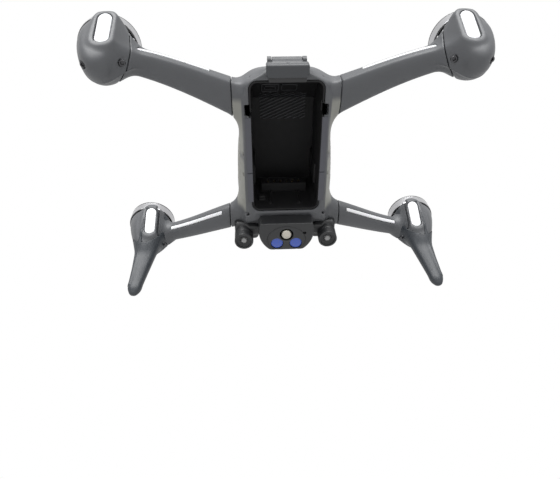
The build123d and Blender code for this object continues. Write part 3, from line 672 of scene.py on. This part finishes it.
def yoke(x, y, z):
    """The two cheeks that carry the camera, and their back plate."""
    ax = abs(x)
    cheek = np.maximum(slot_field(y, z, (62, 68), (77, 68), 5.0), 12.5 - ax)
    cheek = smooth_max(cheek, ax - 15.1, 0.6)
    plate = box_field(x, y, z, (-15.1, 60.5, 61), (15.1, 62.5, 75), 0.6)
    body = smooth_min(cheek, plate, 1.0)
    cover = np.hypot(y - CAMERA_AXIS[0], z - CAMERA_AXIS[1]) - 3.4
    body = np.maximum(body, -np.maximum(abs(cover) - 0.25, 14.7 - ax))
    return np.maximum(body, -(np.hypot(y - CAMERA_AXIS[0], z - CAMERA_AXIS[1]) - 2.08))


def bay_tub(x, y, z):
    """The bay's black liner, with side pads, a catch and ribs on its front wall."""
    ax = abs(x)
    liner = bay_field(x, y, z, LINER - 0.02)
    body = np.maximum(liner, -bay_field(x, y, z, 0))
    body = np.maximum(body, 34.05 - z)
    body = np.maximum(body, -box_field(ax, y, z, *BAY_NOTCH, 0.4))
    pad = box_field(ax, y, z, (20.2, 12, 50), (23, 27, 77), 0.6)
    catch = box_field(x, y, z, (-18.5, 34.2, 46), (-13.5, 39, 50), 0.5)
    rib = box_field(abs(ax - 10), y, z, (-0.6, 36.2, 41), (0.6, 39, 77), 0.3)
    extras = np.maximum(np.minimum(pad, np.minimum(catch, rib)), liner)
    return smooth_min(body, extras, 0.5)


def bay_marks(x, y, z):
    """Two raised frames and slanted hatching on the bay's sloping roof."""
    frame_a = abs(box_field(x, y, z, (-14.5, -40, 0), (-3.5, -32.5, 90), 0.8)) - 0.35
    frame_b = abs(box_field(x, y, z, (-1.5, -39.5, 0), (8.5, -33.5, 90), 0.8)) - 0.35
    inner = abs(box_field(x, y, z, (-12.5, -38, 0), (-5.5, -34.5, 90), 0.8)) - 0.25
    lines = y + 0.45 * x
    rib = abs(lines - 2.3 * np.round(lines / 2.3)) - 0.38
    area = box_field(x, y, z, (-16, -31, 0), (16, -10, 90), 2.0)
    marks = np.minimum(np.minimum(frame_a, np.minimum(frame_b, inner)), np.maximum(rib, area))
    roof = bay_roof(y)
    return np.maximum(marks, np.maximum(roof - 0.7 - z, z - roof - 0.5))


# --- Materials --------------------------------------------------------------------------
# Slot: colour, roughness, metallic, coat, grain and relief in millimetres, mottling, specular level
FINISHES = {
    "hull_grey": ((0.050, 0.052, 0.056), 0.50, 0, 0.0, 0.45, 0.020, 0.10),
    "canopy_grey": ((0.048, 0.050, 0.054), 0.48, 0, 0.0, 0.45, 0.020, 0.10),
    "arm_grey": ((0.047, 0.049, 0.053), 0.48, 0, 0.0, 0.45, 0.018, 0.10),
    "pod_grey": ((0.048, 0.050, 0.054), 0.46, 0, 0.0, 0.40, 0.016, 0.10),
    "leg_grey": ((0.015, 0.018, 0.022), 0.44, 0, 0.0, 0.50, 0.018, 0.12),
    "lamp_white": ((0.46, 0.465, 0.475), 0.30, 0, 0.3, 1.10, 0.012, 0.03),
    "bell_black": ((0.012, 0.012, 0.013), 0.34, 0.2, 0.3, 0.25, 0.010, 0.15),
    "stator_silver": ((0.50, 0.50, 0.51), 0.26, 1, 0.0, 0.30, 0.008, 0.06),
    "hub_black": ((0.018, 0.018, 0.020), 0.42, 0, 0.0, 0.35, 0.014, 0.12),
    "screw_steel": ((0.055, 0.055, 0.058), 0.38, 0.9, 0.0, 0.20, 0.010, 0.15),
    "bay_black": ((0.0075, 0.0075, 0.008), 0.62, 0, 0.0, 0.55, 0.030, 0.15, 0.2),
    "rail_grey": ((0.040, 0.041, 0.050), 0.42, 0, 0.0, 0.45, 0.015, 0.10),
    "contact_gold": ((0.80, 0.60, 0.28), 0.24, 1, 0.0, 0.20, 0.006, 0.05),
    "vent_grey": ((0.15, 0.15, 0.135), 0.50, 0, 0.0, 0.40, 0.018, 0.10),
    "gimbal_black": ((0.018, 0.018, 0.020), 0.40, 0.1, 0.0, 0.35, 0.012, 0.12),
    "camera_black": ((0.014, 0.014, 0.015), 0.28, 0, 0.3, 0.35, 0.008, 0.10),
    "lens_glass": ((0.010, 0.012, 0.030), 0.05, 0, 1.0, 1.50, 0.001, 0.05),
    "sensor_black": ((0.009, 0.0095, 0.0105), 0.46, 0, 0.0, 0.40, 0.018, 0.12),
    "sensor_silver": ((0.36, 0.34, 0.30), 0.22, 1, 0.0, 0.60, 0.020, 0.10),
    "lens_blue": ((0.008, 0.040, 0.26), 0.22, 0, 0.5, 0.80, 0.004, 0.06),
    "vision_window": ((0.16, 0.16, 0.16), 0.20, 0.4, 0.5, 0.50, 0.006, 0.08),
    "plug_grey": ((0.024, 0.026, 0.029), 0.46, 0, 0.0, 0.45, 0.016, 0.10),
    "plug_black": ((0.012, 0.012, 0.013), 0.52, 0, 0.0, 0.45, 0.016, 0.12),
    "board_green": ((0.012, 0.085, 0.040), 0.34, 0, 0.4, 1.60, 0.030, 0.20),
    "fan_black": ((0.016, 0.016, 0.018), 0.44, 0, 0.0, 0.35, 0.014, 0.12),
}


GLOSS_SPREAD = 0.07


def finish_material(name, colour, roughness, metallic, coat, grain, relief, mottling, specular=0.4):
    """A moulded or machined surface: fine grain in relief, with drifting colour and gloss."""
    made = bpy.data.materials.new(name)
    made.use_nodes = True
    tree = made.node_tree
    shader = tree.nodes["Principled BSDF"]
    shader.inputs["Metallic"].default_value = metallic
    shader.inputs["Coat Weight"].default_value = coat
    shader.inputs["Coat Roughness"].default_value = 0.12
    shader.inputs["Specular IOR Level"].default_value = specular
    place = tree.nodes.new("ShaderNodeTexCoord")

    def noise(size, detail):
        node = tree.nodes.new("ShaderNodeTexNoise")
        node.inputs["Scale"].default_value = 1 / (size * MM)
        node.inputs["Detail"].default_value = detail
        tree.links.new(place.outputs["Object"], node.inputs["Vector"])
        return node

    drift = noise(14, 4)
    fine = noise(grain, 3)
    scuff = noise(4, 6)

    tint = tree.nodes.new("ShaderNodeMix")
    tint.data_type = "RGBA"
    tint.inputs["A"].default_value = (*[c * (1 - mottling) for c in colour], 1)
    tint.inputs["B"].default_value = (*[c * (1 + mottling) for c in colour], 1)
    tree.links.new(drift.outputs["Fac"], tint.inputs["Factor"])
    speck = tree.nodes.new("ShaderNodeMix")
    speck.data_type = "RGBA"
    speck.blend_type = "OVERLAY"
    speck.inputs["Factor"].default_value = 0.12
    tree.links.new(tint.outputs["Result"], speck.inputs["A"])
    tree.links.new(fine.outputs["Color"], speck.inputs["B"])
    tree.links.new(speck.outputs["Result"], shader.inputs["Base Color"])

    gloss = tree.nodes.new("ShaderNodeMapRange")
    gloss.inputs["To Min"].default_value = max(roughness - GLOSS_SPREAD, 0.03)
    gloss.inputs["To Max"].default_value = roughness + GLOSS_SPREAD
    tree.links.new(scuff.outputs["Fac"], gloss.inputs["Value"])
    tree.links.new(gloss.outputs["Result"], shader.inputs["Roughness"])

    bump = tree.nodes.new("ShaderNodeBump")
    bump.inputs["Strength"].default_value = 1.0
    bump.inputs["Distance"].default_value = relief * MM
    tree.links.new(fine.outputs["Fac"], bump.inputs["Height"])
    tree.links.new(bump.outputs["Normal"], shader.inputs["Normal"])
    return made


materials = {name: finish_material(name, *values) for name, values in FINISHES.items()}
copper = finish_material("winding_copper", (0.55, 0.22, 0.09), 0.32, 1, 0.3, 0.3, 0.01, 0.1)
laminate = finish_material("laminated_steel", (0.30, 0.30, 0.31), 0.4, 1, 0, 0.3, 0.01, 0.1)
band = finish_material("machined_band", (0.42, 0.42, 0.43), 0.30, 1, 0, 0.25, 0.006, 0.05)
marking = finish_material("moulded_marks", (0.030, 0.031, 0.034), 0.5, 0, 0, 0.5, 0.02, 0.15)
floor_finish = finish_material("pale_floor", (0.80, 0.80, 0.80), 0.6, 0, 0, 3.0, 0.05, 0.01)

# Painted light: the hull's flanks are painted lighter than its underside, standing in for the light
# they catch at grazing angles
FLANK_PAINTED_LIGHT = (0.15, 0.15, 0.135, 1)
FLANK_X = (26.9, 33.0, 0.8)  # from, to and softness of the paler area, as distances from the middle
FLANK_Y = (-1.0, 36.0, 5.0)
flank = materials["hull_grey"].node_tree
shader_input = flank.nodes["Principled BSDF"].inputs["Base Color"]
base_colour = shader_input.links[0].from_socket
split = flank.nodes.new("ShaderNodeSeparateXYZ")
coordinates = next(node for node in flank.nodes if node.type == "TEX_COORD")
flank.links.new(coordinates.outputs["Object"], split.inputs["Vector"])


def maths(operation, *values):
    """A maths node's result, in the flank's material."""
    node = flank.nodes.new("ShaderNodeMath")
    node.operation = operation
    for socket, value in zip(node.inputs, values):
        flank.links.new(value, socket)
    return node.outputs["Value"]


def ramp(value, start, soft, before, after):
    """A smooth change from one value to another over a distance in millimetres."""
    node = flank.nodes.new("ShaderNodeMapRange")
    node.interpolation_type = "SMOOTHSTEP"
    node.inputs["From Min"].default_value = start * MM
    node.inputs["From Max"].default_value = (start + soft) * MM
    node.inputs["To Min"].default_value = before
    node.inputs["To Max"].default_value = after
    flank.links.new(value, node.inputs["Value"])
    return node.outputs["Result"]


def band_of(coordinate, low, high, soft):
    """One where a coordinate's distance from zero lies between low and high, in millimetres."""
    distance = maths("ABSOLUTE", coordinate)
    return maths("MULTIPLY", ramp(distance, low, soft, 0, 1), ramp(distance, high, soft, 1, 0))


# Mixes the painted light into the hull's colour on its flanks
paler = flank.nodes.new("ShaderNodeMix")
paler.data_type = "RGBA"
paler.inputs["B"].default_value = FLANK_PAINTED_LIGHT
painted_light_mask = maths("MULTIPLY", band_of(split.outputs["X"], *FLANK_X), band_of(split.outputs["Y"], *FLANK_Y))
flank.links.new(painted_light_mask, paler.inputs["Factor"])
flank.links.new(base_colour, paler.inputs["A"])
flank.links.new(paler.outputs["Result"], shader_input)

# --- Assembly ---------------------------------------------------------------------------
record = frame["record"]
slot_of = {entry["node"]: entry["material_slot"] for entry in record["subparts"]}
body_of = {node: body for body, nodes in record["behaviour"]["bodies"].items() for node in nodes}

for node, piece in frame["nodes"].items():
    piece.data.materials.clear()
    piece.data.materials.append(materials[slot_of[node]])


def stand_in(node, mesh, place=(0, 0, 0)):
    """Shows a mesh in place of a CAD node, on the same body and with the same finish."""
    return add_piece(node + "_shell", mesh, slot_of[node], body_of[node], place, (node,))


def add_piece(name, mesh, slot, body, place=(0, 0, 0), nodes=(), finish=None):
    """Adds a piece that rides a body, at a place in millimetres."""
    if not mesh.materials:
        mesh.materials.append(finish or materials[slot])
    piece = bpy.data.objects.new(name, mesh)
    scene.collection.objects.link(piece)
    piece.location = [value * MM for value in place]
    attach(piece, body)
    if nodes:
        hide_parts(*nodes)
    return piece


def stand_in_pair(name, field, low, high, step):
    """Stands in for a right-hand node and for its mirror image."""
    surface = surface_of(field, low, high, step)
    for side, mirrored in (("_right", False), ("_left", True)):
        stand_in(name + side, mesh_of(name + side, surface, mirrored))


def stand_in_one(node, field, low, high, step):
    """Stands in for one node."""
    stand_in(node, mesh_of(node, surface_of(field, low, high, step)))


stand_in_one("lower_hull", lower_hull, (-41, -59, 32), (41, 74, 67), 0.6)
stand_in_one("top_canopy", top_canopy, (-35, -56, 65), (35, 74, 105), 0.6)
stand_in_pair("side_vent", side_vent, (26, -9, 43), (36, 21, 58), 0.35)
stand_in_one("belly_sensor_housing", belly_housing, (-20, 41, 21), (20, 65, 41), 0.3)
stand_in_one("belly_lamp", belly_dome, (-5, 46, 19), (5, 56, 26), 0.2)
stand_in_one("belly_lenses", belly_windows, (-12, 53, 21), (12, 64, 26), 0.25)
stand_in_one("plug_body", plug_body, (-15, -64.5, 25), (15, -53, 42), 0.3)
stand_in_one("plug_tongue", plug_tongue, (-12.5, -56, 26.5), (12.5, -49.5, 32.5), 0.3)
stand_in_one("camera_body", camera_body, (-16, 66, 57), (16, 91, 79), 0.3)
stand_in_one("camera_lens", camera_lens, (-6.5, 85.5, 61.5), (6.5, 90.5, 74.5), 0.2)
stand_in_one("gimbal_yoke", yoke, (-16, 59.5, 60), (16, 83, 76), 0.3)


def both_sides(surface):
    """A surface together with its mirror image."""
    points, quads = surface
    other = points * np.array((-1, 1, 1))
    return np.vstack((points, other)), np.vstack((quads, quads[:, ::-1] + len(points)))


for node, field, low, high, step in (
    ("vision_brackets", vision_bracket, (16, 50, 34), (37, 66, 47), 0.35),
    ("vision_barrels", vision_barrel, (22, 51.5, 25), (37, 66.5, 41), 0.3),
    ("vision_lenses", vision_lens, (23.5, 53, 26), (35.5, 65, 29), 0.2),
):
    stand_in(node, mesh_of(node, both_sides(surface_of(field, low, high, step))))

marks = mesh_of("bay_marks", surface_of(bay_marks, (-17, -41, 54), (17, -9, 79.5), 0.3))
stand_in_one("battery_bay_tub", bay_tub, (-24.5, -52, 33), (24.5, 40, 81), 0.5)
add_piece("bay_roof_marks", marks, "bay_black", "airframe", finish=marking)

screw_points, screw_quads = surface_of(screw_head, (-2.4, -2.4, -2), (2.4, 2.4, 2.4), 0.15)
screw_places = [
    (side * (motor_x + across), motor_y + aft, rim + seat)
    for motor_x, motor_y, rim in MOTORS.values()
    for across, aft, seat in SCREWS
    for side in (1, -1)
]
all_points = np.vstack([screw_points + np.array(place) for place in screw_places])
all_quads = np.vstack([screw_quads + i * len(screw_points) for i in range(len(screw_places))])
stand_in("pod_screws", mesh_of("pod_screws", (all_points, all_quads)))

ARM_BOXES = {"rear": ((32, -86, 4), (92, -12, 62)), "front": ((38, 33, 38), (92, 88, 70))}
for which, (motor_x, motor_y, rim) in MOTORS.items():
    name = "_" + which
    arm_box = ARM_BOXES[which]
    pod_box = ((motor_x - 22, motor_y - 19, rim - 32), (motor_x + 19, motor_y + 19, rim + 4))
    stand_in_pair("arm" + name, arm_shell(which), *arm_box, 0.5)
    stand_in_pair("pod" + name, pod_shell(which), *pod_box, 0.45)
    stand_in_pair("pod_lamp" + name, pod_lamp(which), *pod_box, 0.35)
    stand_in_pair("arm_strip" + name, lambda x, y, z: strip_field(which, x, y, z, 0), *arm_box, 0.35)

stand_in_pair("landing_leg", leg_shell, (84, 50, -1), (116, 92, 62), 0.5)

bell_mesh = mesh_of("bell", surface_of(bell, (-18.5, -18.5, -1.5), (18.5, 18.5, 13), 0.3))
hub_mesh = mesh_of("hub", surface_of(hub, (-9, -9, -3.2), (9, 9, 7), 0.2))
base_mesh = mesh_of("base", surface_of(stator_base, (-16.5, -16.5, -1), (16.5, 16.5, 10.5), 0.3))
core_mesh = mesh_of("core", surface_of(stator_core, (-15.5, -15.5, 2), (15.5, 15.5, 10), 0.25))
coil_mesh = mesh_of("coils", surface_of(windings, (-14.5, -14.5, 2), (14.5, 14.5, 10.5), 0.25))
bell_mesh.materials.append(materials["bell_black"])
bell_mesh.materials.append(band)
for face in bell_mesh.polygons:
    outside = face.center.xy.length > BAND_RADIUS * MM
    if outside and BAND_EDGES[0] * MM < face.center.z < BAND_EDGES[1] * MM:
        face.material_index = 1
core_mesh.materials.append(laminate)
coil_mesh.materials.append(copper)
for which, (motor_x, motor_y, rim) in MOTORS.items():
    for side, sign in (("right", 1), ("left", -1)):
        ending = f"_{which}_{side}"
        place = (sign * motor_x, motor_y, rim)
        top = (*place[:2], rim - STATOR_DROP)
        stand_in("motor_bell" + ending, bell_mesh, place)
        stand_in("prop_hub" + ending, hub_mesh, (*place[:2], rim + HUB_SEAT))
        stand_in("stator" + ending, base_mesh, top)
        add_piece("stator_core" + ending, core_mesh, "stator_silver", "airframe", top)
        add_piece("stator_coils" + ending, coil_mesh, "contact_gold", "airframe", top)

# --- Floor, light and camera --------------------------------------------------------------
FLOOR_REACH = 6.0
FLOOR_LEVEL = -0.6
floor_mesh = bpy.data.meshes.new("floor")
corners = [(-1, -1), (1, -1), (1, 1), (-1, 1)]
floor_points = [(FLOOR_REACH * a, FLOOR_REACH * b, FLOOR_LEVEL) for a, b in corners]
floor_mesh.from_pydata(floor_points, [], [(0, 1, 2, 3)])
floor_mesh.materials.append(floor_finish)
floor = bpy.data.objects.new("floor", floor_mesh)
scene.collection.objects.link(floor)

world = bpy.data.worlds.new("world")
scene.world = world
world.use_nodes = True
world.node_tree.nodes["Background"].inputs["Color"].default_value = (1, 1, 1, 1)
scene.view_settings.view_transform = "Standard"

KEY_DIRECTION = Vector((0.05, 0.95, -0.12))  # a broad light from the tail
key_data = bpy.data.lights.new("key", "SUN")
key_data.energy = 9.0
key_data.angle = radians(70)
key = bpy.data.objects.new("key", key_data)
key.rotation_euler = KEY_DIRECTION.to_track_quat("-Z", "Y").to_euler()
scene.collection.objects.link(key)

# The camera looks up at the belly from below the tail
CAMERA_PLACE = (-0.01885, -0.14094, -0.24554)
CAMERA_FORWARD = Vector((0.04328, 0.59023, 0.80621))
CAMERA_RIGHT = Vector((0.99866, -0.00257, -0.05174))
camera_data = bpy.data.cameras.new("camera")
camera_data.sensor_width = 36.0
camera_data.lens = 30.86
camera_data.clip_start = 0.01
camera_data.clip_end = 20.0
camera = bpy.data.objects.new("camera", camera_data)
scene.collection.objects.link(camera)
forward = CAMERA_FORWARD.normalized()
right = CAMERA_RIGHT.normalized()
up = right.cross(forward)
rotation = Matrix((right, up, -forward)).transposed().to_4x4()
camera.matrix_world = Matrix.Translation(CAMERA_PLACE) @ rotation
scene.camera = camera
